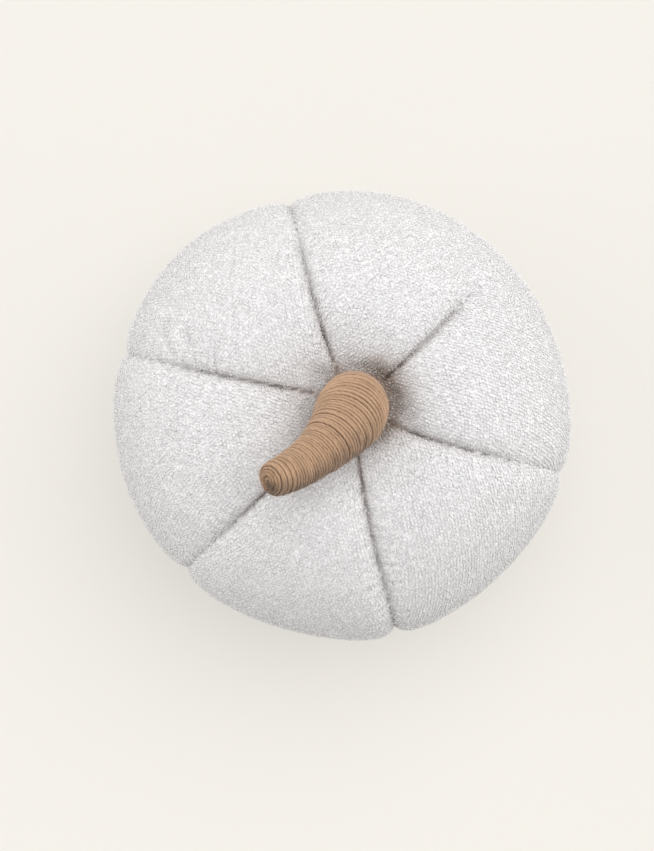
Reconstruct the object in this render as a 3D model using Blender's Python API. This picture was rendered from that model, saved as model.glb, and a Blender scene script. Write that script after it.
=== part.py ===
"""Pumpkin cushion: a round filled body of six sewn gores with a twine-wound stem.

Metres, +Z up. The cushion rests on its base with its stem up. The origin is the
middle of the body's box, on the surface that it rests on. Angles run anticlockwise
from +X as seen from above.
"""
import math

import bmesh
import bpy
from mathutils import Vector

# The body's box
BODY_WIDTH = 0.2895
BODY_DEPTH = 0.2835
BODY_HEIGHT = 0.178

# The body's section: how square its shoulders are, and where it is widest
CROWN_HEIGHT = 0.188
BELLY_HEIGHT = 0.088
TOP_FULLNESS = 2.14
BASE_FULLNESS = 2.30
TOP_HOLLOW_DEPTH = 0.034
TOP_HOLLOW_SPREAD = 0.043
BASE_HOLLOW_DEPTH = 0.014
BASE_HOLLOW_SPREAD = 0.026
# How far the stuffed lobes are pressed flat by what the cushion rests on
BASE_PRESSED = 0.0105

# The seams' channels: depth on the crown and underneath, and how round the lobes are
CROWN_CHANNEL = 0.0085
BASE_CHANNEL = 0.0070
LOBE_ROUNDNESS = 3.4
# The sharp line of the stitches at the bottom of each channel
STITCH_DEPTH = 0.0016
STITCH_WIDTH = 0.0050
# A channel shallower than this at the rim has a fainter line of stitches there
FULL_RIM_CHANNEL = 0.0025

# Each seam: its angle at the rim and beside the stem in degrees, how far the body
# reaches there, the depth of its channel at the rim, and the reach of the lobe
# between it and the next seam
SEAM_COLUMNS = ("rim_angle", "core_angle", "reach", "rim_channel", "lobe_reach")
SEAMS = (
    (43.5, 36.0, 0.1445, 0.0000, 0.1450),
    (103.4, 108.0, 0.1420, 0.0026, 0.1463),
    (163.8, 158.0, 0.1442, 0.0028, 0.1426),
    (224.4, 228.0, 0.1416, 0.0032, 0.1398),
    (284.4, 280.0, 0.1440, 0.0034, 0.1430),
    (345.6, 338.0, 0.1464, 0.0024, 0.1442),
)

# The stem's foot, a little to one side of where the seams meet
STEM_FOOT = Vector((0.0077, 0.0083, 0.0))
SEAT_RADIUS = 0.0195
SEAT_GAP = 0.0003

# The stem's bent centre line above its seat: its foot, two handles and its tip
STEM_PATH = (
    Vector((0.0000, 0.0000, 0.0000)),
    Vector((0.0000, -0.0084, 0.0300)),
    Vector((-0.0210, -0.0370, 0.0410)),
    Vector((-0.0491, -0.0451, 0.0680)),
)
# The share of the stem's length over which its turns tilt from level to square
STEM_FOOT_SHARE = 0.35
# The stem's radius at shares of its length, in metres
STEM_COLUMNS = ("share", "radius")
STEM_RADII = (
    (0.00, 0.0178),
    (0.05, 0.0191),
    (0.12, 0.0206),
    (0.25, 0.0208),
    (0.40, 0.0180),
    (0.55, 0.0150),
    (0.70, 0.0127),
    (0.85, 0.0113),
    (0.95, 0.0100),
)
# The rounded tip and the small eye at its middle
TIP_LENGTH = 0.0060
EYE_RADIUS = 0.0026
EYE_DEPTH = 0.0022

# How finely the solids are faceted
GORE_STEPS = 12
SECTION_STEPS = 46
STEM_SIDES = 28
STEM_RINGS = 30
TIP_RINGS = 6

BOUCLE_COLOUR = (0.86, 0.86, 0.86, 1.0)
JUTE_COLOUR = (0.47, 0.31, 0.18, 1.0)


def clear_scene():
    """Remove whatever the scene holds."""
    for item in list(bpy.data.objects):
        bpy.data.objects.remove(item, do_unlink=True)


def make_material(name, colour, roughness):
    """Return a plain cloth or yarn material."""
    material = bpy.data.materials.new(name)
    material.use_nodes = True
    shader = material.node_tree.nodes["Principled BSDF"]
    shader.inputs["Base Color"].default_value = colour
    shader.inputs["Roughness"].default_value = roughness
    shader.inputs["Metallic"].default_value = 0.0
    return material


def named_rows(columns, rows):
    """Return a table's rows as dictionaries."""
    return [dict(zip(columns, row)) for row in rows]


def ease(share):
    """Return a share eased in and out, held between 0 and 1."""
    share = min(max(share, 0.0), 1.0)
    return share * share * (3.0 - 2.0 * share)


def section_point(turn):
    """Return the lobe's reach share and height at a turn from the crown, 0 to 1."""
    angle = math.pi * (0.5 - turn)
    across = abs(math.cos(angle))
    rise = math.sin(angle)
    fullness = TOP_FULLNESS if rise >= 0.0 else BASE_FULLNESS
    share = across ** (2.0 / fullness)
    lift = abs(rise) ** (2.0 / fullness)
    if rise >= 0.0:
        height = BELLY_HEIGHT + (CROWN_HEIGHT - BELLY_HEIGHT) * lift
    else:
        height = BELLY_HEIGHT - (BELLY_HEIGHT + BASE_PRESSED) * lift
    return share, height


def channel_depth(seam, share, upper):
    """Return how deep a seam's channel is at a share of the body's reach."""
    rim = ease((share - 0.55) / 0.45)
    full = CROWN_CHANNEL if upper else BASE_CHANNEL
    start = ease((share - 0.12) / 0.22)
    return start * (full * (1.0 - rim) + seam["rim_channel"] * rim)


def body_point(seam, following, place, turn):
    """Return a point of the body.

    place runs from -1 at one seam to 1 at the following seam, and turn runs from 0
    at the crown's middle to 1 at the base's middle.
    """
    share, height = section_point(turn)
    upper = turn < 0.5
    near = seam if place < 0.0 else following
    towards_seam = abs(place)

    # The gore's own angle, with the seams bending a little beside the stem
    bend = (1.0 - share) ** 2 if upper else 0.0
    first = seam["rim_angle"] + (seam["core_angle"] - seam["rim_angle"]) * bend
    last = following["rim_angle"] + (following["core_angle"] - following["rim_angle"]) * bend
    if last < first:
        last += 360.0
    angle = math.radians(first + (last - first) * (place + 1.0) / 2.0)

    # The reach runs smoothly from each seam to the lobe's middle
    reach = near["reach"] + (seam["lobe_reach"] - near["reach"]) * ease(1.0 - towards_seam)
    radius = share * reach

    # The hollows of the crown and the base
    if upper:
        height -= TOP_HOLLOW_DEPTH * math.exp(-((radius / TOP_HOLLOW_SPREAD) ** 2))
    else:
        height += BASE_HOLLOW_DEPTH * math.exp(-((radius / BASE_HOLLOW_SPREAD) ** 2))

    # The sewn channel pulls the surface in towards the body's middle
    depth = channel_depth(near, share, upper) * towards_seam ** LOBE_ROUNDNESS
    half_gore = math.radians(last - first) / 2.0
    from_seam = (1.0 - towards_seam) * half_gore * radius
    rim = ease((share - 0.55) / 0.45)
    firmness = 1.0 - rim + rim * min(near["rim_channel"] / FULL_RIM_CHANNEL, 1.0)
    firmness *= ease((share - 0.15) / 0.2)
    stitch = STITCH_DEPTH * firmness * math.exp(-from_seam / STITCH_WIDTH)
    inward = Vector((-math.cos(angle) * share ** 3, -math.sin(angle) * share ** 3, 0.0))
    inward.z = (-1.0 if upper else 1.0) * (1.0 - share ** 3)
    inward.normalize()
    shift = STEM_FOOT * ((1.0 - share) ** 3 if upper else 0.0)
    point = Vector((math.cos(angle) * radius, math.sin(angle) * radius, height))
    return point + inward * (depth + stitch) + shift


def gore_places():
    """Return the places across a gore, closer together beside the seams."""
    places = []
    for step in range(GORE_STEPS):
        places.append(math.sin(math.pi / 2.0 * (2.0 * step / GORE_STEPS - 1.0)))
    return places


def body_columns():
    """Return each column of the body's grid as its seam, following seam and place."""
    seams = named_rows(SEAM_COLUMNS, SEAMS)
    columns = []
    for index, seam in enumerate(seams):
        following = seams[(index + 1) % len(seams)]
        for place in gore_places():
            columns.append((seam, following, place))
    return columns


def section_turns():
    """Return the turns of the body's rings, from the stem's seat to the base."""
    first = 0.040
    last = 0.965
    span = last - first
    return [first + span * step / SECTION_STEPS for step in range(SECTION_STEPS + 1)]


def seat_height():
    """Return the height of the flat seat that the stem's foot stands on."""
    share, height = section_point(section_turns()[0])
    reach = sum(seam["reach"] for seam in named_rows(SEAM_COLUMNS, SEAMS)) / len(SEAMS)
    radius = share * reach
    return height - TOP_HOLLOW_DEPTH * math.exp(-((radius / TOP_HOLLOW_SPREAD) ** 2))


def fit_to_box(points):
    """Centre the body's points on the origin, press their base flat and fit them to the box."""
    low_x = min(point.x for point in points)
    high_x = max(point.x for point in points)
    low_y = min(point.y for point in points)
    high_y = max(point.y for point in points)
    middle = Vector(((low_x + high_x) / 2.0, (low_y + high_y) / 2.0, 0.0))
    stretch_x = BODY_WIDTH / (high_x - low_x)
    stretch_y = BODY_DEPTH / (high_y - low_y)
    stretch_z = BODY_HEIGHT / max(point.z for point in points)
    for point in points:
        point -= middle
        point.x *= stretch_x
        point.y *= stretch_y
        point.z = max(point.z, 0.0) * stretch_z


def object_from_rings(name, rings, material, cap_centres):
    """Make one closed object of rings of points, each ring joined to the next.

    cap_centres holds the middle points of the first and the last ring's fans.
    """
    mesh = bpy.data.meshes.new(name)
    bm = bmesh.new()
    rows = [[bm.verts.new(point) for point in ring] for ring in rings]
    count = len(rows[0])
    for upper, lower in zip(rows, rows[1:]):
        for index in range(count):
            following = (index + 1) % count
            bm.faces.new((upper[index], lower[index], lower[following], upper[following]))
    for ring, centre, flip in ((rows[0], cap_centres[0], False), (rows[-1], cap_centres[1], True)):
        middle = bm.verts.new(centre)
        for index in range(count):
            following = (index + 1) % count
            corners = [middle, ring[index], ring[following]]
            if flip:
                corners.reverse()
            bm.faces.new(corners)
    bmesh.ops.recalc_face_normals(bm, faces=bm.faces)
    bm.to_mesh(mesh)
    bm.free()
    mesh.materials.append(material)
    mesh.shade_smooth()
    result = bpy.data.objects.new(name, mesh)
    bpy.context.scene.collection.objects.link(result)
    return result


def make_cushion():
    """Make the filled body and return the middle of the stem's seat."""
    columns = body_columns()
    turns = section_turns()
    seat = seat_height()
    rings = []
    for turn in turns:
        rings.append([body_point(seam, following, place, turn) for seam, following, place in columns])

    # The first ring is the round, level edge of the stem's seat
    seat_middle = STEM_FOOT + Vector((0.0, 0.0, seat))
    for index, point in enumerate(rings[0]):
        direction = Vector((point.x - STEM_FOOT.x, point.y - STEM_FOOT.y, 0.0)).normalized()
        rings[0][index] = seat_middle + direction * SEAT_RADIUS

    fit_to_box([point for ring in rings for point in ring] + [seat_middle])
    base_middle = sum(rings[-1], Vector()) / len(rings[-1])
    base_middle.z += 0.0010
    material = make_material("boucle", BOUCLE_COLOUR, 0.95)
    object_from_rings("cushion", rings, material, (seat_middle, base_middle))
    return seat_middle


def stem_centre(share):
    """Return the stem's centre line at a share of its length."""
    foot, low, high, tip = STEM_PATH
    rest = 1.0 - share
    return foot * rest ** 3 + low * 3 * rest ** 2 * share + high * 3 * rest * share ** 2 + tip * share ** 3


def stem_radius(share):
    """Return the stem's radius at a share of its length, eased between the table's rows."""
    rows = named_rows(STEM_COLUMNS, STEM_RADII)
    for first, second in zip(rows, rows[1:]):
        if share <= second["share"]:
            along = (share - first["share"]) / (second["share"] - first["share"])
            return first["radius"] + (second["radius"] - first["radius"]) * along
    return rows[-1]["radius"]


def stem_ring(centre, tangent, side, radius):
    """Return one round ring of the stem, square to its centre line."""
    across = (side - tangent * side.dot(tangent)).normalized()
    along = tangent.cross(across)
    ring = []
    for step in range(STEM_SIDES):
        angle = 2.0 * math.pi * step / STEM_SIDES
        ring.append(centre + (across * math.cos(angle) + along * math.sin(angle)) * radius)
    return ring


def make_stem(seat_middle):
    """Make the wound stem, standing just above its seat."""
    foot = seat_middle + Vector((0.0, 0.0, SEAT_GAP))
    side = Vector((1.0, -1.0, 0.0)).normalized()
    last_share = STEM_RADII[-1][0]
    rings = []
    for step in range(STEM_RINGS + 1):
        share = last_share * step / STEM_RINGS
        tangent = (stem_centre(share + 0.01) - stem_centre(share - 0.01)).normalized()
        tangent = Vector((0.0, 0.0, 1.0)).lerp(tangent, ease(share / STEM_FOOT_SHARE)).normalized()
        rings.append(stem_ring(foot + stem_centre(share), tangent, side, stem_radius(share)))

    # The rounded tip curls in to the small eye
    end = foot + stem_centre(last_share)
    tangent = (stem_centre(last_share) - stem_centre(last_share - 0.02)).normalized()
    end_radius = stem_radius(last_share)
    for step in range(1, TIP_RINGS + 1):
        angle = math.pi / 2.0 * step / (TIP_RINGS + 0.5)
        radius = EYE_RADIUS + (end_radius - EYE_RADIUS) * math.cos(angle)
        rings.append(stem_ring(end + tangent * TIP_LENGTH * math.sin(angle), tangent, side, radius))
    eye = end + tangent * (TIP_LENGTH - EYE_DEPTH)
    rings.append(stem_ring(eye, tangent, side, EYE_RADIUS * 0.6))

    material = make_material("jute_twine", JUTE_COLOUR, 0.85)
    object_from_rings("stem", rings, material, (foot.copy(), eye))


def main():
    """Make the cushion and its stem."""
    clear_scene()
    seat_middle = make_cushion()
    make_stem(seat_middle)


main()
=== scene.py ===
"""Looks of the pumpkin cushion: boucle gores round a stuffed body, and a stem wound with jute twine.

Metres, +Z up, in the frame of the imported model. The cushion stands on its base with
its stem up, and the camera looks straight down on it.
"""
import math

import bmesh
import bpy
import numpy as np
from bpy.props import FloatProperty, FloatVectorProperty, IntProperty, PointerProperty
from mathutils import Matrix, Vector
from mathutils.bvhtree import BVHTree


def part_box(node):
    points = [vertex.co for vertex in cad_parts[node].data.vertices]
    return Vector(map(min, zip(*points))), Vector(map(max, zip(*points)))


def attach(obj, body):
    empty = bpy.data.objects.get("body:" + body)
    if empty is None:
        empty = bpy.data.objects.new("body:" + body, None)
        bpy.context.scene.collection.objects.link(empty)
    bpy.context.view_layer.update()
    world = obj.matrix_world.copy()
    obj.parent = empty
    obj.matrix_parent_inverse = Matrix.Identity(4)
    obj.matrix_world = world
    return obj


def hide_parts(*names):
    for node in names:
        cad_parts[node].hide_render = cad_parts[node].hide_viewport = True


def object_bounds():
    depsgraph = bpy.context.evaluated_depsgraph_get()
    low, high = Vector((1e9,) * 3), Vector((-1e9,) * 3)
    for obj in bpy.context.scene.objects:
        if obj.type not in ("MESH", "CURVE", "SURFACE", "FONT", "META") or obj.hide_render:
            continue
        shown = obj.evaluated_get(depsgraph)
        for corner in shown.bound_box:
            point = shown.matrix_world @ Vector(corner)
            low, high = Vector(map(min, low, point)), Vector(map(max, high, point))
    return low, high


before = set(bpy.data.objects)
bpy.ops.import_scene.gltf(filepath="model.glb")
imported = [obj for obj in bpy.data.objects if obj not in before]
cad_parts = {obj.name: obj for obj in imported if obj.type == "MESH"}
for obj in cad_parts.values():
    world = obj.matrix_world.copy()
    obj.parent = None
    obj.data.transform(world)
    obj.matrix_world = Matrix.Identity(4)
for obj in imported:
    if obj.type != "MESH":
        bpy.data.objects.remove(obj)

bl_info = {
    "name": "Pumpkin Cushion",
    "version": (1, 0, 0),
    "blender": (4, 5, 0),
    "location": "View3D > Sidebar > Pumpkin",
    "description": "Dresses a pumpkin cushion in boucle and winds its stem with jute twine",
    "category": "Object",
}

CAD_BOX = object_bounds()
BODY_LOW, BODY_HIGH = (Vector(corner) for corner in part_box("cushion"))
STEM_LOW = Vector(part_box("stem")[0])

# Where the six seams meet, seen from above, and how far the body reaches from there
SEAMS_MEET = np.array((-0.0010, -0.0008))
BODY_REACH = 0.1445
BODY_WAIST = BODY_LOW.z + 0.49 * (BODY_HIGH.z - BODY_LOW.z)
# The middle of the stem's foot, from where the seams meet
FOOT_SHIFT = np.array((0.0077, 0.0083))
# Each seam's angle at the rim and beside the stem, and how firmly it is drawn in at the rim
SEAM_COLUMNS = ("rim_angle", "core_angle", "rim_pull")
SEAMS = (
    (43.5, 36.0, 0.00),
    (103.4, 108.0, 0.65),
    (163.8, 158.0, 0.60),
    (224.4, 228.0, 0.50),
    (284.4, 280.0, 1.00),
    (345.6, 338.0, 0.50),
)
SEED = 11


def seam_column(name):
    """Return one column of the seams' table as an array."""
    index = SEAM_COLUMNS.index(name)
    return np.array([row[index] for row in SEAMS])


def ease(share):
    """Return shares eased in and out, held between 0 and 1."""
    share = np.clip(share, 0.0, 1.0)
    return share * share * (3.0 - 2.0 * share)


class GorePlaces:
    """Where points of the body lie among its gores.

    gore is the gore's number, from_seam the distance to the nearest seam, seam that
    seam's number, side which side of it the point is on, and share how far out it is.
    """

    def __init__(self, points):
        points = np.asarray(points)
        upper = points[:, 2] > BODY_WAIST
        flat = points[:, :2] - SEAMS_MEET
        share = np.clip(np.hypot(flat[:, 0], flat[:, 1]) / BODY_REACH, 0.0, 1.0)
        shift = np.where(upper, (1.0 - share) ** 3, 0.0)
        flat = flat - shift[:, None] * FOOT_SHIFT
        radius = np.hypot(flat[:, 0], flat[:, 1])
        share = np.clip(radius / BODY_REACH, 0.0, 1.0)
        angle = np.degrees(np.arctan2(flat[:, 1], flat[:, 0]))
        bend = np.where(upper, (1.0 - share) ** 2, 0.0)
        rim = seam_column("rim_angle")
        lines = rim + bend[:, None] * (seam_column("core_angle") - rim)
        turn = (angle[:, None] - lines + 180.0) % 360.0 - 180.0
        nearest = np.abs(turn).argmin(axis=1)
        rows = np.arange(len(points))
        self.upper = upper
        self.share = share
        self.radius = radius
        self.seam = nearest
        self.side = np.where(turn[rows, nearest] < 0.0, -1.0, 1.0)
        self.from_seam = np.abs(np.radians(turn[rows, nearest])) * radius
        self.gore = np.where(turn < 0.0, 1e9, turn).argmin(axis=1)
        rim_pull = seam_column("rim_pull")[nearest]
        fading = ease((share - 0.62) / 0.2) * upper + 1.0 * ~upper
        self.pull = 1.0 - fading * (1.0 - rim_pull)


def gore_middle(gore):
    """Return the angle in radians of a gore's middle line at the rim."""
    rim = seam_column("rim_angle")
    width = (rim[(gore + 1) % len(rim)] - rim[gore]) % 360.0
    return math.radians(rim[gore] + width / 2.0)


class CoverSettings(bpy.types.PropertyGroup):
    """Sizes and colours of the stuffed body and its boucle."""

    cloth_cell: FloatProperty(
        name="Cloth cell", description="Size of the cloth's mesh cells before they are halved",
        default=0.0037, min=0.002, unit="LENGTH")
    slack: FloatProperty(
        name="Slack", description="How far the cover lies inside the solid before it is stuffed",
        default=0.0020, unit="LENGTH")
    pressure: FloatProperty(
        name="Stuffing", description="Pressure of the filling on the cover", default=500.0)
    swell: FloatProperty(
        name="Most swell", description="How far the filling may push the cover out",
        default=0.0060, unit="LENGTH")
    crevice: FloatProperty(
        name="Crevice", description="Depth of the fold that the stitches pull along each seam",
        default=0.0029, unit="LENGTH")
    fullness: FloatProperty(
        name="Fullness", description="How far the gores bulge beside their seams",
        default=0.0028, unit="LENGTH")
    pucker: FloatProperty(
        name="Pucker", description="Height of the small gathers beside the seams",
        default=0.0007, unit="LENGTH")
    row_pitch: FloatProperty(
        name="Row pitch", description="Distance between the boucle's rows", default=0.00200, unit="LENGTH")
    nub_pitch: FloatProperty(
        name="Nub pitch", description="Distance between the nubs of a row", default=0.00230, unit="LENGTH")
    curl_length: FloatProperty(
        name="Curl length", description="Length of a curl of yarn", default=0.0029, unit="LENGTH")
    curl_height: FloatProperty(
        name="Curl height", description="How far a curl arches up from the cloth",
        default=0.0009, unit="LENGTH")
    yarn: FloatProperty(
        name="Yarn", description="Thickness of the boucle's yarn", default=0.0013, unit="LENGTH")
    slant: FloatProperty(
        name="Slant", description="Angle of the curls from the rows", default=0.9, subtype="ANGLE")
    light: FloatVectorProperty(
        name="Boucle light", description="Colour of the nubs' tops", subtype="COLOR",
        default=(0.95, 0.945, 0.955))
    # Boucle shade is painted shade: the colour at the curls' roots and in the cloth between the nubs,
    # where shade falls
    shade: FloatVectorProperty(
        name="Boucle shade", description="Colour between the nubs", subtype="COLOR",
        default=(0.54, 0.53, 0.535))
    # Painted shadow and painted brown reflection from the stem, with jute lint: the brown that the cover's
    # colour is multiplied by
    lint_shade_tint: FloatVectorProperty(
        name="Jute lint", description="Tint of the boucle where jute lint lies on it", subtype="COLOR",
        default=(0.50, 0.40, 0.335))


class StemSettings(bpy.types.PropertyGroup):
    """Sizes and colours of the wound stem."""

    twine: FloatProperty(
        name="Twine", description="Thickness of the jute twine", default=0.00178, unit="LENGTH")
    turn_pitch: FloatProperty(
        name="Turn pitch", description="Distance from turn to turn along the stem",
        default=0.00180, unit="LENGTH")
    turn_points: IntProperty(
        name="Points a turn", description="Points along each turn of twine", default=72, min=16)
    hairs: IntProperty(
        name="Loose fibres", description="Number of jute fibres that stand off the twine", default=1100)
    light: FloatVectorProperty(
        name="Jute light", description="Colour of the twine's ridges", subtype="COLOR",
        default=(0.455, 0.290, 0.180))
    # Jute dark is also painted shade: in the twine's grooves and on the core between the turns
    dark: FloatVectorProperty(
        name="Jute dark", description="Colour between the twine's fibres", subtype="COLOR",
        default=(0.175, 0.095, 0.052))


class StageSettings(bpy.types.PropertyGroup):
    """The floor, light and camera."""

    floor: FloatVectorProperty(
        name="Floor", description="Colour of the floor", subtype="COLOR", default=(0.40, 0.387, 0.363))
    horizon: FloatVectorProperty(
        name="Horizon", description="Colour of the air where it meets the floor", subtype="COLOR",
        default=(0.91, 0.885, 0.83))
    glow: FloatProperty(name="Floor glow", description="Light that the floor gives off", default=0.405)
    key: FloatProperty(name="Key light", description="Strength of the large light", default=1.75)
    sides: FloatProperty(name="Side lights", description="Strength of the two side lights", default=0.62)
    air: FloatProperty(name="Air light", description="Strength of the light from all round", default=0.60)


def named_object(name, mesh):
    """Return a new object in the scene with this mesh."""
    made = bpy.data.objects.new(name, mesh)
    bpy.context.scene.collection.objects.link(made)
    return made


def pick_only(item):
    """Select one object and make it active."""
    bpy.ops.object.select_all(action="DESELECT")
    item.select_set(True)
    bpy.context.view_layer.objects.active = item


def mesh_points(mesh):
    """Return a mesh's points as an array of rows."""
    points = np.empty(len(mesh.vertices) * 3, np.float32)
    mesh.vertices.foreach_get("co", points)
    return points.reshape(-1, 3).astype(np.float64)


def mesh_normals(mesh):
    """Return a mesh's vertex normals as an array of rows."""
    normals = np.empty(len(mesh.vertices) * 3, np.float32)
    mesh.vertex_normals.foreach_get("vector", normals)
    return normals.reshape(-1, 3).astype(np.float64)


def place_points(mesh, points):
    """Write an array of rows back into a mesh's points."""
    mesh.vertices.foreach_set("co", np.asarray(points, np.float32).ravel())
    mesh.update()


def joined_mesh(name, points, faces_of_four, faces_of_three):
    """Return a mesh of points with faces of four and of three corners."""
    mesh = bpy.data.meshes.new(name)
    mesh.vertices.add(len(points))
    mesh.vertices.foreach_set("co", np.asarray(points, np.float32).ravel())
    corners = np.concatenate((faces_of_four.ravel(), faces_of_three.ravel())).astype(np.int32)
    sizes = np.concatenate((np.full(len(faces_of_four), 4), np.full(len(faces_of_three), 3)))
    starts = np.concatenate(((0,), np.cumsum(sizes)[:-1])).astype(np.int32)
    mesh.loops.add(len(corners))
    mesh.loops.foreach_set("vertex_index", corners)
    mesh.polygons.add(len(sizes))
    mesh.polygons.foreach_set("loop_start", starts)
    mesh.update(calc_edges=True)
    mesh.shade_smooth()
    return mesh


def tube_mesh(name, points):
    """Return a mesh of closed tubes from an array of each tube's rings of points."""
    count, rings, sides = points.shape[:3]
    ring = np.arange(rings - 1)[:, None] * sides
    side = np.arange(sides)[None]
    following = (side + 1) % sides
    quads = np.stack(
        (ring + side, ring + following, ring + sides + following, ring + sides + side), axis=2)
    fan = np.array([(0, step + 1, step) for step in range(1, sides - 1)])
    ends = np.concatenate((fan, (rings - 1) * sides + fan[:, ::-1]))
    starts = np.arange(count)[:, None, None] * rings * sides
    quads = (quads.reshape(1, -1, 4) + starts).reshape(-1, 4)
    ends = (ends[None] + starts).reshape(-1, 3)
    return joined_mesh(name, points.reshape(-1, 3), quads, ends)


def point_values(mesh, name, values):
    """Give a mesh one number for each point, which its material reads."""
    layer = mesh.attributes.new(name, "FLOAT", "POINT")
    layer.data.foreach_set("value", np.asarray(values, np.float32).ravel())


def new_material(name):
    """Return a new material with its node tree, links and Principled shader."""
    material = bpy.data.materials.new(name)
    material.use_nodes = True
    tree = material.node_tree
    return material, tree, tree.nodes["Principled BSDF"]


def add_node(tree, kind, **values):
    """Add a node and set its properties and, by name or number, its inputs."""
    node = tree.nodes.new(kind)
    for key, value in values.items():
        if key.startswith("in_"):
            name = key[3:]
            node.inputs[int(name) if name.isdigit() else name].default_value = value
        else:
            setattr(node, key, value)
    return node


def mix_colours(tree, share, first, second):
    """Return the output of a node that mixes two colours by a share."""
    mix = add_node(tree, "ShaderNodeMix", data_type="RGBA", in_6=(*first, 1.0), in_7=(*second, 1.0))
    tree.links.new(share, mix.inputs[0])
    return mix.outputs[2]


def set_surface(shader, roughness, specular=0.5, sheen=0.0):
    """Set how matt, glossy and fuzzy a shader's surface is."""
    shader.inputs["Roughness"].default_value = roughness
    shader.inputs["Specular IOR Level"].default_value = specular
    shader.inputs["Sheen Weight"].default_value = sheen


def boucle_material(name, cover):
    """Return the boucle's material: pale nubs with painted shade between them, with fine fibres."""
    material, tree, shader = new_material(name)
    height = add_node(tree, "ShaderNodeAttribute", attribute_name="nub_height")
    tone = add_node(tree, "ShaderNodeAttribute", attribute_name="nub_tone")
    place = add_node(tree, "ShaderNodeTexCoord")
    fibres = add_node(tree, "ShaderNodeTexNoise", in_Scale=1900.0, in_Detail=3.0)
    tree.links.new(place.outputs["Object"], fibres.inputs["Vector"])
    lift = add_node(tree, "ShaderNodeMath", operation="MULTIPLY_ADD", in_1=0.30, in_2=-0.15)
    tree.links.new(fibres.outputs["Fac"], lift.inputs[0])
    share = add_node(tree, "ShaderNodeMath", operation="ADD", use_clamp=True)
    tree.links.new(height.outputs["Fac"], share.inputs[0])
    tree.links.new(lift.outputs[0], share.inputs[1])
    # Painted shade: the shade colour at the curls' roots, the light colour at their tops
    colour = mix_colours(tree, share.outputs[0], cover.shade, cover.light)
    toned = add_node(tree, "ShaderNodeVectorMath", operation="SCALE")
    tree.links.new(colour, toned.inputs[0])
    tree.links.new(tone.outputs["Fac"], toned.inputs["Scale"])
    tree.links.new(browned_by_lint_and_shade(tree, toned.outputs[0], cover), shader.inputs["Base Color"])
    bump = add_node(tree, "ShaderNodeBump", in_Strength=0.35, in_Distance=0.0002)
    tree.links.new(fibres.outputs["Fac"], bump.inputs["Height"])
    tree.links.new(bump.outputs[0], shader.inputs["Normal"])
    set_surface(shader, 0.95, specular=0.15, sheen=0.15)
    shader.inputs["Sheen Roughness"].default_value = 0.6
    return material


def ground_material(cover):
    """Return the material of the cloth under the nubs: painted shade, in the rows' weave."""
    material, tree, shader = new_material("boucle_ground")
    weave = add_node(tree, "ShaderNodeUVMap", uv_map="gore_pattern")
    spots = add_node(
        tree, "ShaderNodeTexVoronoi", in_Scale=1.0 / cover.row_pitch, in_Randomness=0.55)
    tree.links.new(weave.outputs[0], spots.inputs["Vector"])
    # Painted shade: each cell of the weave darkens from its middle to its edges, between the nubs
    colour = mix_colours(tree, spots.outputs["Distance"], cover.light, cover.shade)
    tree.links.new(browned_by_lint_and_shade(tree, colour, cover), shader.inputs["Base Color"])
    bump = add_node(tree, "ShaderNodeBump", in_Strength=0.8, in_Distance=0.0006)
    bump.invert = True
    tree.links.new(spots.outputs["Distance"], bump.inputs["Height"])
    tree.links.new(bump.outputs[0], shader.inputs["Normal"])
    set_surface(shader, 0.95, specular=0.1, sheen=0.1)
    return material


def jute_dust(points):
    """Return how much brown lies on the cover: painted shadow and painted brown reflection beside the
    stem, most on its right, with jute lint, and painted shade with lint in the seams.
    """
    places = GorePlaces(points)
    flat = points[:, :2] - SEAMS_MEET - FOOT_SHIFT
    distance = np.hypot(flat[:, 0], flat[:, 1])
    to_right = ease(np.cos(np.arctan2(flat[:, 1], flat[:, 0])) * 1.3)
    width = 0.0035 + 0.0080 * to_right
    # Beside the stem: painted shadow and painted brown reflection from the twine, with jute lint
    near = (0.55 + 0.45 * to_right) * np.exp(-((np.maximum(distance - 0.019, 0.0) / width) ** 2))
    # Along the seams near the crown: painted shade in the crevices, with jute lint
    seam = 0.9 * np.exp(-places.from_seam / 0.0017) * places.pull
    seam *= np.exp(-((places.radius / 0.075) ** 2))
    return np.clip(near + seam, 0.0, 1.0) * places.upper


def browned_by_lint_and_shade(tree, colour, cover):
    """Return a colour browned by painted shadow, painted brown reflection and jute lint."""
    lint_shade_share = add_node(tree, "ShaderNodeAttribute", attribute_name="jute_dust")
    mix = add_node(tree, "ShaderNodeMix", data_type="RGBA", blend_type="MULTIPLY", in_7=(*cover.lint_shade_tint, 1.0))
    tree.links.new(lint_shade_share.outputs["Fac"], mix.inputs[0])
    tree.links.new(colour, mix.inputs[6])
    return mix.outputs[2]


def copy_of_node(name, node):
    """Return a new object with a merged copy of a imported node's mesh."""
    mesh = bpy.data.objects[node].data.copy()
    mesh.materials.clear()
    bm = bmesh.new()
    bm.from_mesh(mesh)
    bmesh.ops.remove_doubles(bm, verts=bm.verts, dist=1e-6)
    bm.to_mesh(mesh)
    bm.free()
    return named_object(name, mesh)


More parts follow.
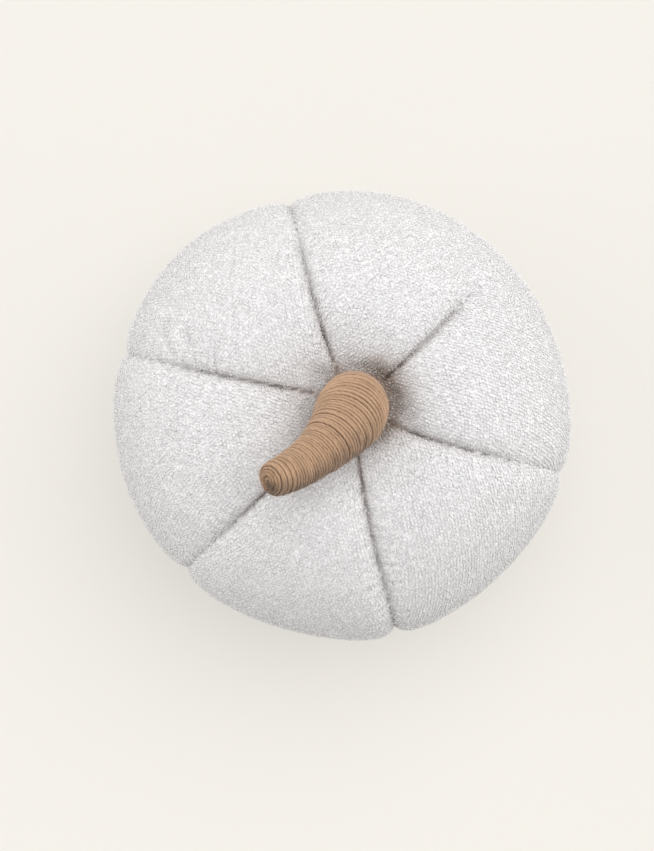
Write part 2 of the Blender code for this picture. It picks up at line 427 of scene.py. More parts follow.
def stuff_cover(cover_piece, cover):
    """Fill the cover by cloth simulation, held along its seams, its seat and its base."""
    mesh = cover_piece.data
    start = mesh_points(mesh)
    places = GorePlaces(start)
    near_seam = np.exp(-((places.from_seam / 0.0045) ** 2)) * np.maximum(places.pull, 0.35)
    seat = ease((0.030 - places.radius) / 0.006) * places.upper
    base = ease((0.006 - start[:, 2]) / 0.004)
    held = np.clip(np.maximum.reduce((near_seam, seat, base)), 0.0, 1.0)
    group = cover_piece.vertex_groups.new(name="stitched")
    for index in np.flatnonzero(held > 0.02):
        group.add([int(index)], float(held[index]), "REPLACE")

    cloth = cover_piece.modifiers.new("filling", "CLOTH")
    settings = cloth.settings
    settings.quality = 5
    settings.mass = 0.15
    settings.tension_stiffness = 12.0
    settings.compression_stiffness = 12.0
    settings.shear_stiffness = 6.0
    settings.bending_stiffness = 0.8
    settings.use_pressure = True
    settings.uniform_pressure_force = cover.pressure
    settings.effector_weights.gravity = 0.0
    settings.vertex_group_mass = "stitched"
    cloth.collision_settings.use_collision = False
    last_frame = 20
    cloth.point_cache.frame_start = 1
    cloth.point_cache.frame_end = last_frame
    scene = bpy.context.scene
    for number in range(1, last_frame + 1):
        scene.frame_set(number)
    shaped = cover_piece.evaluated_get(bpy.context.evaluated_depsgraph_get())
    swollen = mesh_points(shaped.data)
    cover_piece.modifiers.remove(cloth)
    scene.frame_set(1)

    move = swollen - start
    length = np.linalg.norm(move, axis=1)
    most = cover.swell
    kept = most * np.tanh(length / most) / np.maximum(length, 1e-9)
    points = start + move * kept[:, None] * (1.0 - held)[:, None]
    points[:, 2] = np.maximum(points[:, 2], BODY_LOW.z + 0.0006)
    place_points(mesh, points)


def smooth_noise(along, wavelength, seed):
    """Return a smooth wave between -1 and 1 that never repeats along a line."""
    draw = np.random.default_rng(seed)
    total = np.zeros_like(along)
    for octave in range(4):
        finer = 0.62 ** octave
        turns = 2.0 * math.pi * along / (wavelength * finer)
        phase = draw.uniform(0.0, 2.0 * math.pi, 2)
        total += finer * (np.sin(turns + phase[0]) + 0.45 * np.sin(turns / 1.37 + phase[1]))
    return total / 2.6


def along_seam(points, places):
    """Return how far along the seam's line each point is, from the crown down to the base."""
    return places.radius * np.where(places.upper, 1.0, -1.0) - 1.3 * points[:, 2]


def gore_fullness(places, mine):
    """Return how much fuller than round the gores are, most a little way off each seam."""
    half_width = np.maximum(places.radius[mine] * math.sin(math.radians(30.0)), 0.001)
    towards = np.clip(1.0 - places.from_seam[mine] / half_width, 0.0, 1.0)
    return (towards ** 3.4 - towards ** 10.0) / 0.45


def sew_seams(cover_piece, cover):
    """Sink the stitched fold into each seam and raise small gathers beside it."""
    mesh = cover_piece.data
    points = mesh_points(mesh)
    normals = mesh_normals(mesh)
    places = GorePlaces(points)
    along = along_seam(points, places)
    reach = ease((places.radius - 0.012) / 0.02) * ease((points[:, 2] - 0.004) / 0.012)
    sink = np.zeros(len(points))
    for seam in range(len(SEAMS)):
        mine = places.seam == seam
        wander = 0.0006 * smooth_noise(along[mine], 0.012, SEED + seam)
        distance = np.abs(places.from_seam[mine] * places.side[mine] - wander)
        depth = cover.crevice * (1.0 + 0.25 * smooth_noise(along[mine], 0.017, SEED + 20 + seam))
        fold = depth * np.exp(-distance / 0.0010)
        shoulder = 0.15 * cover.crevice * np.exp(-((distance / 0.0040) ** 2))
        gather = np.zeros(mine.sum())
        for side in (-1, 1):
            wave = smooth_noise(along[mine], 0.0105, SEED + 40 + seam * 2 + side)
            gather += (places.side[mine] == side) * wave
        spread = np.exp(-((distance - 0.006) / 0.0075) ** 2)
        fullness = cover.fullness * gore_fullness(places, mine)
        sink[mine] = (fold + shoulder + cover.pucker * gather * spread - fullness) * places.pull[mine]
    points -= normals * (sink * reach + stem_hollow(points, places))[:, None]
    points += normals * dents(points)[:, None]
    points[:, 2] = np.maximum(points[:, 2], BODY_LOW.z + 0.0006)
    place_points(mesh, points)


def stem_hollow(points, places):
    """Return how far the cover sinks towards the stem, most on its right and its left."""
    flat = points[:, :2] - SEAMS_MEET - FOOT_SHIFT
    distance = np.hypot(flat[:, 0], flat[:, 1])
    angle = np.arctan2(flat[:, 1], flat[:, 0])
    to_right = ease(np.cos(angle - math.radians(5.0)))
    to_left = ease(np.cos(angle - math.radians(190.0)) * 1.2)
    depth = 0.0026 + 0.0036 * to_right + 0.0022 * to_left
    width = 0.0065 + 0.0060 * to_right + 0.0090 * to_left
    return places.upper * depth * np.exp(-((np.maximum(distance - 0.0190, 0.0) / width) ** 2))


# Short creases in the cover: where each starts and ends, seen from above, its depth and
# its half width, in metres
CREASE_COLUMNS = ("start", "end", "depth", "width")
CREASES = (
    ((-0.1090, 0.0530), (-0.1020, 0.0320), 0.0013, 0.0022),
    ((-0.0950, 0.0520), (-0.0890, 0.0330), 0.0015, 0.0020),
    ((0.0740, 0.0800), (0.0860, 0.0720), 0.0014, 0.0026),
    ((0.0700, 0.0930), (0.0840, 0.0790), 0.0010, 0.0028),
)


def dents(points):
    """Return how far each upper point moves along its normal for the cover's short creases."""
    move = np.zeros(len(points))
    flat = points[:, :2]
    upper = points[:, 2] > BODY_WAIST
    for row in CREASES:
        crease = dict(zip(CREASE_COLUMNS, row))
        start = np.array(crease["start"])
        line = np.array(crease["end"]) - start
        share = np.clip(((flat - start) @ line) / (line @ line), 0.0, 1.0)
        distance = np.linalg.norm(flat - start - share[:, None] * line, axis=1)
        taper = np.sqrt(np.clip(1.0 - (2.0 * share - 1.0) ** 2, 0.05, 1.0))
        move -= upper * crease["depth"] * taper * np.exp(-((distance / crease["width"]) ** 2))
    return move


def body_rays(gore, section_steps=170, cross_steps=121):
    """Return the directions of a grid over one gore, out from the body's middle.

    The grid's rows are square to the gore's middle line, as its cloth is cut.
    """
    middle = gore_middle(gore)
    outward = np.array((math.cos(middle), math.sin(middle), 0.0))
    sideways = np.array((-math.sin(middle), math.cos(middle), 0.0))
    up = np.array((0.0, 0.0, 1.0))
    fall = np.linspace(0.02, math.pi - 0.02, section_steps)
    cross = np.linspace(-0.72, 0.72, cross_steps)
    along = np.sin(fall)[:, None] * outward + np.cos(fall)[:, None] * up
    return np.cos(cross)[None, :, None] * along[:, None, :] + np.sin(cross)[None, :, None] * sideways


def body_core():
    """Return the point inside the body that the gores' patterns are cast from."""
    return Vector((SEAMS_MEET[0], SEAMS_MEET[1], BODY_WAIST))


def cast_grid(tree, rays):
    """Return where a grid of rays from the body's core meets the body, and the normals there."""
    core = body_core()
    shape = rays.shape[:2]
    found = np.empty((*shape, 3))
    normals = np.empty((*shape, 3))
    for row in range(shape[0]):
        for column in range(shape[1]):
            direction = Vector(rays[row, column])
            start = core + direction * 0.4
            spot, normal, _, _ = tree.ray_cast(start, -direction)
            found[row, column] = spot
            normals[row, column] = normal
    return found, normals


def pattern_lines(found):
    """Return the arc length along a gore's middle line for each row of its grid."""
    middle = found[:, found.shape[1] // 2]
    steps = np.linalg.norm(np.diff(middle, axis=0), axis=1)
    return np.concatenate(((0.0,), np.cumsum(steps)))


def read_row(places, run, row):
    """Return a row's values at distances along it."""
    return np.stack([np.interp(places, run, row[:, axis]) for axis in range(3)], axis=1)


def gore_lattice(found, normals, cover, draw):
    """Return staggered places for a gore's nubs with their normals and row directions."""
    length = pattern_lines(found)
    rows = np.arange(cover.row_pitch, length[-1], cover.row_pitch)
    spots, ups, lines = [], [], []
    steps = np.arange(len(length))
    near = 0.001
    for number, height in enumerate(rows):
        at = np.interp(height, length, steps)
        low = int(at)
        high = min(low + 1, len(length) - 1)
        blend = at - low
        row = found[low] * (1.0 - blend) + found[high] * blend
        up = normals[low] * (1.0 - blend) + normals[high] * blend
        gaps = np.linalg.norm(np.diff(row, axis=0), axis=1)
        # The core's rays leap over deep folds, so no gap counts for more than its neighbours
        gaps = np.minimum(gaps, np.median(gaps) * 1.8)
        run = np.concatenate(((0.0,), np.cumsum(gaps)))
        middle = run[len(run) // 2]
        offset = (number % 2) * 0.5 * cover.nub_pitch
        first = math.ceil((-middle - offset) / cover.nub_pitch)
        last = math.floor((run[-1] - middle - offset) / cover.nub_pitch)
        places = middle + offset + np.arange(first, last + 1) * cover.nub_pitch
        places = places + draw.normal(0.0, 0.10 * cover.nub_pitch, len(places))
        spots.append(read_row(places, run, row))
        ups.append(read_row(places, run, up))
        lines.append(read_row(places + near, run, row) - read_row(places - near, run, row))
    spots, ups, lines = (np.concatenate(part) for part in (spots, ups, lines))
    ups /= np.maximum(np.linalg.norm(ups, axis=1), 1e-9)[:, None]
    lines -= ups * (lines * ups).sum(axis=1)[:, None]
    lines /= np.maximum(np.linalg.norm(lines, axis=1), 1e-9)[:, None]
    return spots, ups, lines


# One nub: a short curl of yarn. Each ring's place along it, its height and its sideways
# bow, as shares of half the curl's length, of its height and of its bow, and its thickness
CURL_COLUMNS = ("along", "height", "bow", "thickness")
CURL_RINGS = (
    (-1.00, -0.50, -0.50, 0.60),
    (0.00, 0.50, 0.50, 1.10),
    (1.00, -0.50, -0.50, 0.60),
)
CURL_SIDES = 3


def curl_mesh(name, spots, ups, lines, cover, draw):
    """Return one mesh of all the curls at these places."""
    count = len(spots)
    sideways = np.cross(ups, lines)
    # The curls lie along the cloth's two slants, some one way and some the other
    slant = np.where(draw.random(count) < 0.85, 1.0, -1.0) * cover.slant
    slant += draw.normal(0.0, 0.20, count)
    forward = lines * np.cos(slant)[:, None] + sideways * np.sin(slant)[:, None]
    across = np.cross(ups, forward)
    size = np.clip(draw.normal(1.0, 0.18, count), 0.6, 1.6)
    half = cover.curl_length / 2.0 * size
    bow = cover.curl_length * 0.16 * draw.choice((-1.0, 1.0), count)
    bow = bow * np.clip(draw.normal(1.0, 0.4, count), 0.1, 2.0)
    thick = cover.yarn / 2.0 * np.clip(draw.normal(1.0, 0.14, count), 0.65, 1.45)
    tall = cover.curl_height * np.clip(draw.normal(1.0, 0.32, count), 0.3, 2.1)
    spots = spots + sideways * draw.normal(0.0, 0.00025, count)[:, None]
    spin = draw.uniform(0.0, 2.0 * math.pi / CURL_SIDES, count)
    rings = []
    heights = []
    for row in CURL_RINGS:
        ring = dict(zip(CURL_COLUMNS, row))
        middle = spots + forward * (half * ring["along"])[:, None] + ups * (tall * ring["height"])[:, None]
        middle = middle + across * (bow * ring["bow"])[:, None]
        for side in range(CURL_SIDES):
            angle = spin + 2.0 * math.pi * side / CURL_SIDES
            out = across * np.cos(angle)[:, None] + ups * np.sin(angle)[:, None]
            rings.append(middle + out * (thick * ring["thickness"])[:, None])
            heights.append(tall * ring["height"] + np.sin(angle) * thick * ring["thickness"])
    points = np.stack(rings, axis=1)
    # Each point's height on its curl, which sets the painted shade at the curls' roots
    height = np.stack(heights, axis=1) / (cover.curl_height * 0.5 + cover.yarn * 0.5)
    mesh = tube_mesh(name, points.reshape(count, len(CURL_RINGS), CURL_SIDES, 3))
    point_values(mesh, "nub_height", np.clip(height, 0.0, 1.0).reshape(-1))
    tone = np.clip(draw.normal(0.99, 0.05, count), 0.8, 1.04)
    point_values(mesh, "nub_tone", np.repeat(tone, points.shape[1]))
    return mesh


class PUMPKIN_OT_body(bpy.types.Operator):
    """Make the stuffed body under the boucle"""

    bl_idname = "pumpkin.body"
    bl_label = "Stuffed body"

    def execute(self, context):
        cover = context.scene.pumpkin_cover
        piece = copy_of_node("stuffed_body", "cushion")
        pick_only(piece)
        mesh = piece.data
        place_points(mesh, mesh_points(mesh) - mesh_normals(mesh) * cover.slack)
        mesh.remesh_voxel_size = cover.cloth_cell
        bpy.ops.object.voxel_remesh()
        smooth = piece.modifiers.new("even", "SMOOTH")
        smooth.factor = 0.5
        smooth.iterations = 4
        bpy.ops.object.modifier_apply(modifier=smooth.name)
        stuff_cover(piece, cover)
        halved = piece.modifiers.new("halved", "SUBSURF")
        halved.levels = 1
        halved.render_levels = 1
        bpy.ops.object.modifier_apply(modifier=halved.name)
        sew_seams(piece, cover)
        piece.data.shade_smooth()
        # Painted shadow, painted brown reflection and lint beside the stem, and painted shade with lint in
        # the seams
        point_values(piece.data, "jute_dust", jute_dust(mesh_points(piece.data)))
        self.lay_pattern(piece)
        piece.data.materials.append(ground_material(cover))
        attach(piece, "root")
        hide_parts("cushion")
        return {"FINISHED"}

    def lay_pattern(self, piece):
        """Lay each gore's cloth flat in its own part of the UV map, in metres."""
        mesh = piece.data
        points = mesh_points(mesh)
        corners = np.empty(len(mesh.loops), np.int32)
        mesh.loops.foreach_get("vertex_index", corners)
        owners = np.empty(len(mesh.polygons) * 3, np.float32)
        mesh.polygons.foreach_get("center", owners)
        totals = np.empty(len(mesh.polygons), np.int32)
        mesh.polygons.foreach_get("loop_total", totals)
        gores = np.repeat(GorePlaces(owners.reshape(-1, 3)).gore, totals)
        core = np.array(body_core())
        rays = points[corners] - core
        rays /= np.linalg.norm(rays, axis=1)[:, None]
        pattern = np.zeros((len(corners), 2))
        for gore in range(len(SEAMS)):
            mine = gores == gore
            middle = gore_middle(gore)
            outward = rays[mine] @ np.array((math.cos(middle), math.sin(middle), 0.0))
            sideways = rays[mine] @ np.array((-math.sin(middle), math.cos(middle), 0.0))
            cross = np.arcsin(np.clip(sideways, -1.0, 1.0))
            fall = np.arctan2(outward, rays[mine][:, 2])
            pattern[mine, 0] = cross * BODY_REACH + gore * 0.25
            pattern[mine, 1] = fall * 0.115
        layer = mesh.uv_layers.new(name="gore_pattern")
        layer.data.foreach_set("uv", pattern.astype(np.float32).ravel())


class PUMPKIN_OT_boucle(bpy.types.Operator):
    """Cover each gore with the boucle's nubs"""

    bl_idname = "pumpkin.boucle"
    bl_label = "Boucle nubs"

    def execute(self, context):
        cover = context.scene.pumpkin_cover
        body = bpy.data.objects["stuffed_body"]
        graph = context.evaluated_depsgraph_get()
        tree = BVHTree.FromObject(body, graph)
        material = boucle_material("boucle_nubs", cover)
        foot = SEAMS_MEET + FOOT_SHIFT
        for gore in range(len(SEAMS)):
            draw = np.random.default_rng(SEED + gore)
            found, normals = cast_grid(tree, body_rays(gore))
            spots, ups, lines = gore_lattice(found, normals, cover, draw)
            places = GorePlaces(spots)
            mine = places.gore == gore
            mine &= places.from_seam > 0.0008 * places.pull * (places.radius > 0.02)
            mine &= draw.random(len(spots)) > 0.03
            under_stem = np.hypot(spots[:, 0] - foot[0], spots[:, 1] - foot[1]) < 0.016
            mine &= ~(under_stem & (spots[:, 2] > BODY_WAIST))
            mine &= spots[:, 2] > BODY_LOW.z + 0.0013
            mesh = curl_mesh(f"boucle_gore_{gore + 1}", spots[mine], ups[mine], lines[mine], cover, draw)
            points = mesh_points(mesh)
            points[:, 2] = np.maximum(points[:, 2], BODY_LOW.z)
            # The painted shadow and lint, varied at random from curl to curl
            each = np.repeat(draw.uniform(0.5, 1.15, mine.sum()), len(points) // mine.sum())
            point_values(mesh, "jute_dust", np.clip(jute_dust(points) * each, 0.0, 1.0))
            place_points(mesh, points)
            mesh.materials.append(material)
            piece = named_object(mesh.name, mesh)
            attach(piece, "root")
            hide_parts("cushion")
        return {"FINISHED"}


# The stem's bent centre line above its foot, and its radius at shares of its length,
# as its solid has them
STEM_PATH = np.array((
    (0.0000, 0.0000, 0.0000),
    (0.0000, -0.0084, 0.0300),
    (-0.0210, -0.0370, 0.0410),
    (-0.0491, -0.0451, 0.0680),
))
STEM_RADII = np.array((
    (0.00, 0.0178),
    (0.05, 0.0191),
    (0.12, 0.0206),
    (0.25, 0.0208),
    (0.40, 0.0180),
    (0.55, 0.0150),
    (0.70, 0.0127),
    (0.85, 0.0113),
    (0.95, 0.0100),
))
STEM_LAST = 0.95
STEM_FOOT_SHARE = 0.35
TIP_LENGTH = 0.0060
EYE_RADIUS = 0.0026
# How far the winding reaches down into the cover's hollow
STEM_SUNK = 0.0060


def stem_foot():
    """Return the middle of the stem's foot."""
    middle = SEAMS_MEET + FOOT_SHIFT
    return np.array((middle[0], middle[1], STEM_LOW.z))


def stem_centre(share):
    """Return points of the stem's centre line at shares of its length."""
    share = np.asarray(share)[:, None]
    rest = 1.0 - share
    foot, low, high, tip = STEM_PATH
    line = foot * rest ** 3 + low * 3.0 * rest ** 2 * share
    return line + high * 3.0 * rest * share ** 2 + tip * share ** 3 + stem_foot()


def stem_frames(share):
    """Return the centre, the direction and two square directions at shares of the stem."""
    step = 0.01
    tangent = stem_centre(share + step) - stem_centre(share - step)
    tangent /= np.linalg.norm(tangent, axis=1)[:, None]
    blend = ease(share / STEM_FOOT_SHARE)[:, None]
    tangent = np.array((0.0, 0.0, 1.0)) * (1.0 - blend) + tangent * blend
    tangent /= np.linalg.norm(tangent, axis=1)[:, None]
    side = np.array((1.0, -1.0, 0.0)) / math.sqrt(2.0)
    across = side - tangent * (tangent @ side)[:, None]
    across /= np.linalg.norm(across, axis=1)[:, None]
    return stem_centre(share), tangent, across, np.cross(tangent, across)


def winding_profile():
    """Return the stem's side from foot to eye: centre share, advance along the tip, radius."""
    shares = np.linspace(0.0, STEM_LAST, 240)
    radii = np.interp(shares, STEM_RADII[:, 0], STEM_RADII[:, 1])
    radii = smoothed(radii, 21)
    bend = np.linspace(0.0, math.pi / 2.0, 40)[1:]
    below = np.linspace(-STEM_SUNK, 0.0, 6)[:-1]
    advance = np.concatenate((below, np.zeros(len(shares)), TIP_LENGTH * np.sin(bend)))
    curl = EYE_RADIUS + (radii[-1] - EYE_RADIUS) * np.cos(bend)
    radii = np.concatenate((np.full(len(below), radii[0]), radii, curl))
    shares = np.concatenate((np.zeros(len(below)), shares, np.full(len(bend), STEM_LAST)))
    # The last turns curl up inside the eye
    inward = np.linspace(0.0, 1.0, 16)[1:]
    advance = np.concatenate((advance, TIP_LENGTH - 0.0014 * ease(inward)))
    radii = np.concatenate((radii, EYE_RADIUS + (0.0005 - EYE_RADIUS) * inward))
    shares = np.concatenate((shares, np.full(len(inward), STEM_LAST)))
    return shares, advance, radii


def smoothed(values, width):
    """Return values averaged with their neighbours, with the ends kept."""
    kernel = np.hanning(width + 2)[1:-1]
    kernel /= kernel.sum()
    padded = np.pad(values, width // 2, mode="edge")
    return np.convolve(padded, kernel, mode="valid")[: len(values)]


def twine_path(stem):
    """Return the twine's middle line from the foot to the eye, the way out of the stem, and where to paint
    highlight and shade.
    """
    shares, advance, radii = winding_profile()
    centre, tangent, across, along = stem_frames(shares)
    centre = centre + tangent * advance[:, None]
    steps = np.linalg.norm(np.diff(centre, axis=0), axis=1)
    side = np.hypot(steps, np.diff(radii))
    run = np.concatenate(((0.0,), np.cumsum(side)))
    turns = run[-1] / stem.turn_pitch
    count = int(turns * stem.turn_points)
    turn = np.linspace(0.0, turns, count)
    draw = np.random.default_rng(SEED + 70)
    steps = np.arange(0.0, turns + 1.0, 0.5)
    uneven = np.interp(turn, steps, draw.normal(0.0, 0.11, len(steps)))
    ends = np.clip(np.minimum(turn, turns - turn) / 3.0, 0.0, 1.0)
    at = np.clip((turn + uneven * ends) * stem.turn_pitch, 0.0, run[-1])
    read = [np.interp(at, run, values) for values in (shares, advance, radii)]
    centre, tangent, across, along = stem_frames(read[0])
    centre = centre + tangent * read[1][:, None]
    angle = 2.0 * math.pi * turn
    out = across * np.cos(angle)[:, None] + along * np.sin(angle)[:, None]
    lift = 0.00018 * np.interp(turn, steps, draw.normal(0.0, 1.0, len(steps)))
    inner = np.maximum(read[2] - stem.twine * 0.35 + lift, 0.0004)
    # Painted light: pale marks the side facing the light, a little above the foot, for a painted
    # highlight; low marks the lower side, away from the light, for painted shade
    left = np.clip(out @ np.array((-0.85, 0.30, 0.43)), 0.0, 1.0) ** 2
    pale = left * np.exp(-(((read[0] - 0.22) / 0.13) ** 2))
    low = np.clip(out @ np.array((0.45, -0.80, -0.10)), 0.0, 1.0) * ease((read[0] - 0.12) / 0.35)
    return centre + out * inner[:, None], out, pale, low


def sweep_twine(name, line, out, pale, low, stem):
    """Return a mesh of two-ply twine along a line, with a painted highlight where pale is 1 and painted
    shade where low is.
    """
    sides = 8
    ahead = np.gradient(line, axis=0)
    ahead /= np.maximum(np.linalg.norm(ahead, axis=1), 1e-9)[:, None]
    out = out - ahead * (out * ahead).sum(axis=1)[:, None]
    out /= np.linalg.norm(out, axis=1)[:, None]
    aside = np.cross(ahead, out)
    steps = np.linalg.norm(np.diff(line, axis=0), axis=1)
    run = np.concatenate(((0.0,), np.cumsum(steps)))
    uneven = smooth_noise(run, 0.023, SEED + 5)
    # Where the turns spread round a bend the twine lies flatter and wider
    turn_ahead = np.linalg.norm(line[stem.turn_points:] - line[:-stem.turn_points], axis=1)
    spread = np.pad(turn_ahead, (0, len(line) - len(turn_ahead)), mode="edge")
    thick = np.clip(spread * 1.08, stem.twine, stem.twine * 1.6) / 2.0 * (1.0 + 0.08 * uneven)
    twist = 2.0 * math.pi * run / 0.0085
    points = np.empty((len(line), sides, 3))
    relief = np.empty((len(line), sides))
    ridge = np.empty((len(line), sides))
    for side in range(sides):
        angle = 2.0 * math.pi * side / sides
        ply = np.abs(np.cos(angle - twist))
        radius = thick * (0.90 + 0.11 * ply)
        direction = out * math.cos(angle) + aside * math.sin(angle)
        points[:, side] = line + direction * radius[:, None]
        relief[:, side] = ply
        # Painted shade: ridge falls from the twine's top to its sides, in the grooves between the turns;
        # the painted highlight where pale is lifts it
        height = max(math.cos(angle), 0.0)
        ridge[:, side] = height + (1.0 - height) * 0.7 * pale
    mesh = tube_mesh(name, points[None])
    point_values(mesh, "ply", relief.reshape(-1))
    point_values(mesh, "ridge", ridge.reshape(-1))
    point_values(mesh, "run", np.repeat(run, sides))
    # Tone: random changes along the twine, plus the painted highlight and the painted shade
    tone = 1.0 + 0.08 * smooth_noise(run, 0.31, SEED + 6) + 0.11 * smooth_noise(run, 0.033, SEED + 8)
    tone += 0.10 * pale - 0.65 * low * (1.0 + 0.5 * smooth_noise(run, 0.017, SEED + 9))
    point_values(mesh, "tone", np.repeat(tone, sides))
    return mesh


def loose_fibres(name, line, out, stem):
    """Return a mesh of fine curved fibres that stand off the twine."""
    draw = np.random.default_rng(SEED + 72)
    count = stem.hairs
    sides = 3
    rings = 5
    start = draw.integers(0, len(line) - 1, count)
    ahead = np.gradient(line, axis=0)[start]
    ahead /= np.linalg.norm(ahead, axis=1)[:, None]
    up = out[start]
    root = line[start] + up * stem.twine * 0.4
    side = np.cross(up, ahead)
    length = draw.uniform(0.0025, 0.0085, count)[:, None]
    rise = draw.uniform(0.05, 0.35, count)[:, None]
    first = ahead * draw.choice((-1.0, 1.0), count)[:, None] + side * draw.normal(0.0, 0.5, count)[:, None]
    bend = side * draw.normal(0.0, 0.35, count)[:, None] - up * draw.uniform(0.0, 0.35, count)[:, None]
    points = np.empty((count, rings, sides, 3))
    for ring in range(rings):
        share = ring / (rings - 1)
        middle = root + length * (share * (first * 0.8 + up * rise) + share ** 2 * bend)
        radius = 0.00007 * (1.0 - 0.6 * share)
        for number in range(sides):
            angle = 2.0 * math.pi * number / sides
            points[:, ring, number] = middle + (up * math.cos(angle) + side * math.sin(angle)) * radius
    return tube_mesh(name, points)


def jute_material(stem):
    """Return the jute twine's material: fibres along the twine, with painted shade in its grooves."""
    material, tree, shader = new_material("jute_twine")
    place = add_node(tree, "ShaderNodeTexCoord")
    run = add_node(tree, "ShaderNodeAttribute", attribute_name="run")
    ply = add_node(tree, "ShaderNodeAttribute", attribute_name="ply")
    ridge = add_node(tree, "ShaderNodeAttribute", attribute_name="ridge")
    tone = add_node(tree, "ShaderNodeAttribute", attribute_name="tone")
    fibres = add_node(tree, "ShaderNodeTexNoise", in_Scale=1500.0, in_Detail=4.0, in_Roughness=0.65)
    tree.links.new(place.outputs["Object"], fibres.inputs["Vector"])
    grain = add_node(tree, "ShaderNodeCombineXYZ")
    for index, (value, stretch) in enumerate(((ridge, 8.0), (run, 190.0), (ply, 4.0))):
        scaled = add_node(tree, "ShaderNodeMath", operation="MULTIPLY", in_1=stretch)
        tree.links.new(value.outputs["Fac"], scaled.inputs[0])
        tree.links.new(scaled.outputs[0], grain.inputs[index])
    streaks = add_node(tree, "ShaderNodeTexNoise", in_Scale=1.0, in_Detail=3.0, in_Roughness=0.6)
    tree.links.new(grain.outputs[0], streaks.inputs["Vector"])
    both = add_node(tree, "ShaderNodeMath", operation="MULTIPLY_ADD", in_1=0.95)
    tree.links.new(streaks.outputs["Fac"], both.inputs[0])
    tree.links.new(fibres.outputs["Fac"], both.inputs[2])
    twisted = add_node(tree, "ShaderNodeMath", operation="MULTIPLY_ADD", in_1=0.20)
    tree.links.new(ply.outputs["Fac"], twisted.inputs[0])
    tree.links.new(both.outputs[0], twisted.inputs[2])
    # Painted shade: the ridge share darkens the twine towards its sides, in the grooves between the turns
    share = add_node(tree, "ShaderNodeMath", operation="MULTIPLY_ADD", in_1=0.50)
    tree.links.new(ridge.outputs["Fac"], share.inputs[0])
    tree.links.new(twisted.outputs[0], share.inputs[2])
    spread = add_node(
        tree, "ShaderNodeMapRange", in_1=0.92, in_2=1.52, in_3=0.0, in_4=1.0)
    tree.links.new(share.outputs[0], spread.inputs[0])
    colour = mix_colours(tree, spread.outputs[0], stem.dark, stem.light)
    toned = add_node(tree, "ShaderNodeVectorMath", operation="SCALE")
    tree.links.new(colour, toned.inputs[0])
    tree.links.new(tone.outputs["Fac"], toned.inputs["Scale"])
    tree.links.new(toned.outputs[0], shader.inputs["Base Color"])
    bump = add_node(tree, "ShaderNodeBump", in_Strength=0.6, in_Distance=0.0003)
    tree.links.new(both.outputs[0], bump.inputs["Height"])
    tree.links.new(bump.outputs[0], shader.inputs["Normal"])
    set_surface(shader, 0.82, specular=0.25, sheen=0.25)
    return material


class PUMPKIN_OT_stem(bpy.types.Operator):
    """Wind the stem with jute twine round a plain core"""

    bl_idname = "pumpkin.stem"
    bl_label = "Wound stem"

    def execute(self, context):
        stem = context.scene.pumpkin_stem
        material = jute_material(stem)
        line, out, pale, low = twine_path(stem)
        mesh = sweep_twine("stem_twine", line, out, pale, low, stem)
        mesh.materials.append(material)
        twine = named_object("stem_twine", mesh)
        mesh = loose_fibres("stem_fibres", line, out, stem)
        mesh.materials.append(self.fibre_material(stem))
        fibres = named_object("stem_fibres", mesh)

        core = copy_of_node("stem_core", "stem")
        inset = stem.twine * 0.75
        place_points(core.data, mesh_points(core.data) - mesh_normals(core.data) * inset)
        core.data.shade_smooth()
        core.data.materials.append(self.core_material(stem))
        for piece in (twine, core, fibres):
            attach(piece, "root")
            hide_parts("stem")
        return {"FINISHED"}

    def fibre_material(self, stem):
        """Return the material of the loose fibres."""
        material, _, shader = new_material("jute_fibres")
        shader.inputs["Base Color"].default_value = (*stem.light, 1.0)
        set_surface(shader, 0.7)
        return material

    def core_material(self, stem):
        """Return the core's material: jute fibres, painted dark as the shade that shows between the turns.
        """
        material, tree, shader = new_material("jute_core")
        place = add_node(tree, "ShaderNodeTexCoord")
        fibres = add_node(tree, "ShaderNodeTexNoise", in_Scale=900.0, in_Detail=3.0)
        tree.links.new(place.outputs["Object"], fibres.inputs["Vector"])
        pale = tuple(value * 1.5 for value in stem.dark)
        colour = mix_colours(tree, fibres.outputs["Fac"], stem.dark, pale)
        tree.links.new(colour, shader.inputs["Base Color"])
        set_surface(shader, 0.9)
        return material


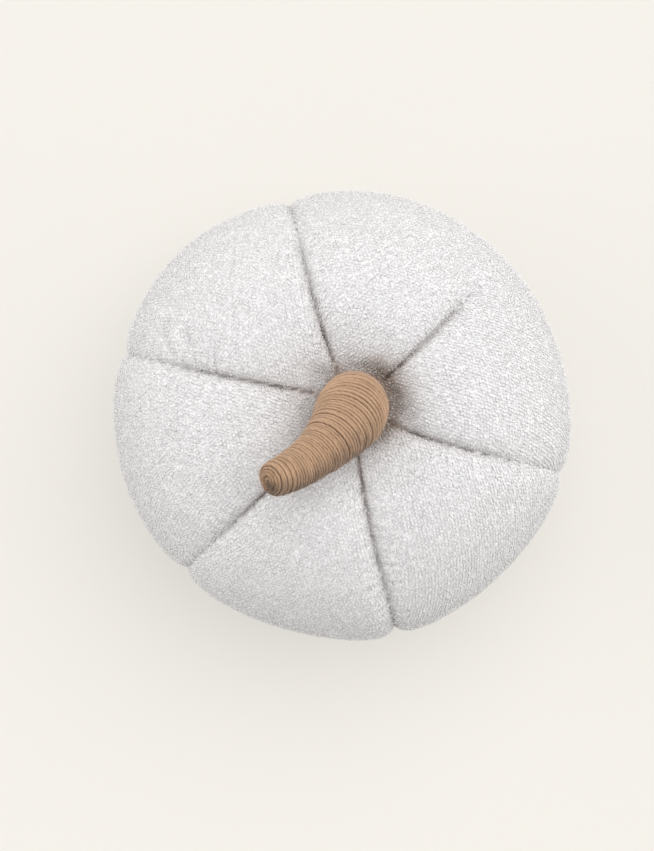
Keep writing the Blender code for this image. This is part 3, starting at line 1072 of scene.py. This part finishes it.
class PUMPKIN_OT_stage(bpy.types.Operator):
    """Set out the floor, the soft light and the camera above the cushion"""

    bl_idname = "pumpkin.stage"
    bl_label = "Floor, light and camera"

    def execute(self, context):
        stage = context.scene.pumpkin_stage
        bpy.ops.object.select_all(action="DESELECT")
        bpy.ops.mesh.primitive_plane_add(size=40.0, location=(0.0, 0.0, CAD_BOX[0][2] - 0.0002))
        floor = context.active_object
        floor.name = "floor"
        bpy.ops.object.transform_apply(location=True, rotation=False, scale=False)
        material, _, shader = new_material("floor_paper")
        shader.inputs["Base Color"].default_value = (*stage.floor, 1.0)
        shader.inputs["Emission Color"].default_value = (1.0, 0.975, 0.915, 1.0)
        shader.inputs["Emission Strength"].default_value = stage.glow
        set_surface(shader, 0.9, specular=0.1)
        floor.data.materials.append(material)

        self.add_light("key_light", (0.36, 0.64, 1.60), 1.1, stage.key)
        self.add_light("left_light", (-1.60, 0.20, 0.65), 1.0, 1.45 * stage.sides)
        self.add_light("right_light", (1.60, 0.20, 0.65), 1.0, stage.sides)
        self.add_air(context, stage)
        self.add_camera()
        context.scene.view_settings.view_transform = "Standard"
        context.scene.view_settings.look = "None"
        return {"FINISHED"}

    def add_air(self, context, stage):
        """Light the scene from all round, palest along the horizon, where it meets the floor."""
        world = bpy.data.worlds.new("air")
        world.use_nodes = True
        tree = world.node_tree
        way = add_node(tree, "ShaderNodeTexCoord")
        parts = add_node(tree, "ShaderNodeSeparateXYZ")
        tree.links.new(way.outputs["Generated"], parts.inputs[0])
        height = add_node(
            tree, "ShaderNodeMapRange", interpolation_type="SMOOTHSTEP",
            in_1=0.05, in_2=0.55, in_3=0.0, in_4=1.0)
        tree.links.new(parts.outputs["Z"], height.inputs[0])
        high = tuple(stage.air * value for value in (1.0, 0.99, 0.98))
        colour = mix_colours(tree, height.outputs[0], stage.horizon, high)
        tree.links.new(colour, tree.nodes["Background"].inputs["Color"])
        context.scene.world = world

    def add_light(self, name, place, size, power):
        """Add a wide, soft, distant light that shines on the cushion from its place."""
        bpy.ops.object.light_add(type="SUN", location=place)
        light = bpy.context.active_object
        light.name = name
        light.data.angle = size
        light.data.energy = power
        aim = Vector((0.0, 0.0, BODY_WAIST)) - Vector(place)
        light.rotation_euler = aim.to_track_quat("-Z", "Y").to_euler()

    def add_camera(self):
        """Look straight down from where the photograph was taken."""
        picture_height = 851
        pixels_to_waist = 1912.0
        data = bpy.data.cameras.new("camera")
        data.sensor_fit = "VERTICAL"
        data.sensor_height = 24.0
        data.lens = data.sensor_height * pixels_to_waist / picture_height
        camera = named_object("camera", data)
        camera.location = (-0.0095, -0.0067, 1.30)
        bpy.context.scene.camera = camera


class PUMPKIN_PT_panel(bpy.types.Panel):
    """Lists the pieces of the pumpkin cushion and their sizes"""

    bl_idname = "PUMPKIN_PT_panel"
    bl_label = "Pumpkin cushion"
    bl_space_type = "VIEW_3D"
    bl_region_type = "UI"
    bl_category = "Pumpkin"

    def draw(self, context):
        layout = self.layout
        for settings in (
                context.scene.pumpkin_cover, context.scene.pumpkin_stem, context.scene.pumpkin_stage):
            box = layout.box()
            for name in settings.bl_rna.properties.keys():
                if name not in {"rna_type", "name"}:
                    box.prop(settings, name)
        for operator in OPERATORS:
            layout.operator(operator.bl_idname)


OPERATORS = (PUMPKIN_OT_stage, PUMPKIN_OT_body, PUMPKIN_OT_boucle, PUMPKIN_OT_stem)
CLASSES = (CoverSettings, StemSettings, StageSettings, *OPERATORS, PUMPKIN_PT_panel)


def register():
    """Register the classes and hang their settings on the scene."""
    for item in CLASSES:
        bpy.utils.register_class(item)
    bpy.types.Scene.pumpkin_cover = PointerProperty(type=CoverSettings)
    bpy.types.Scene.pumpkin_stem = PointerProperty(type=StemSettings)
    bpy.types.Scene.pumpkin_stage = PointerProperty(type=StageSettings)


def unregister():
    """Take the settings off the scene and unregister the classes."""
    del bpy.types.Scene.pumpkin_stage
    del bpy.types.Scene.pumpkin_stem
    del bpy.types.Scene.pumpkin_cover
    for item in reversed(CLASSES):
        bpy.utils.unregister_class(item)


def main():
    """Make every piece in order."""
    register()
    bpy.ops.pumpkin.stage()
    bpy.ops.pumpkin.body()
    bpy.ops.pumpkin.boucle()
    bpy.ops.pumpkin.stem()


if __name__ == "__main__":
    main()
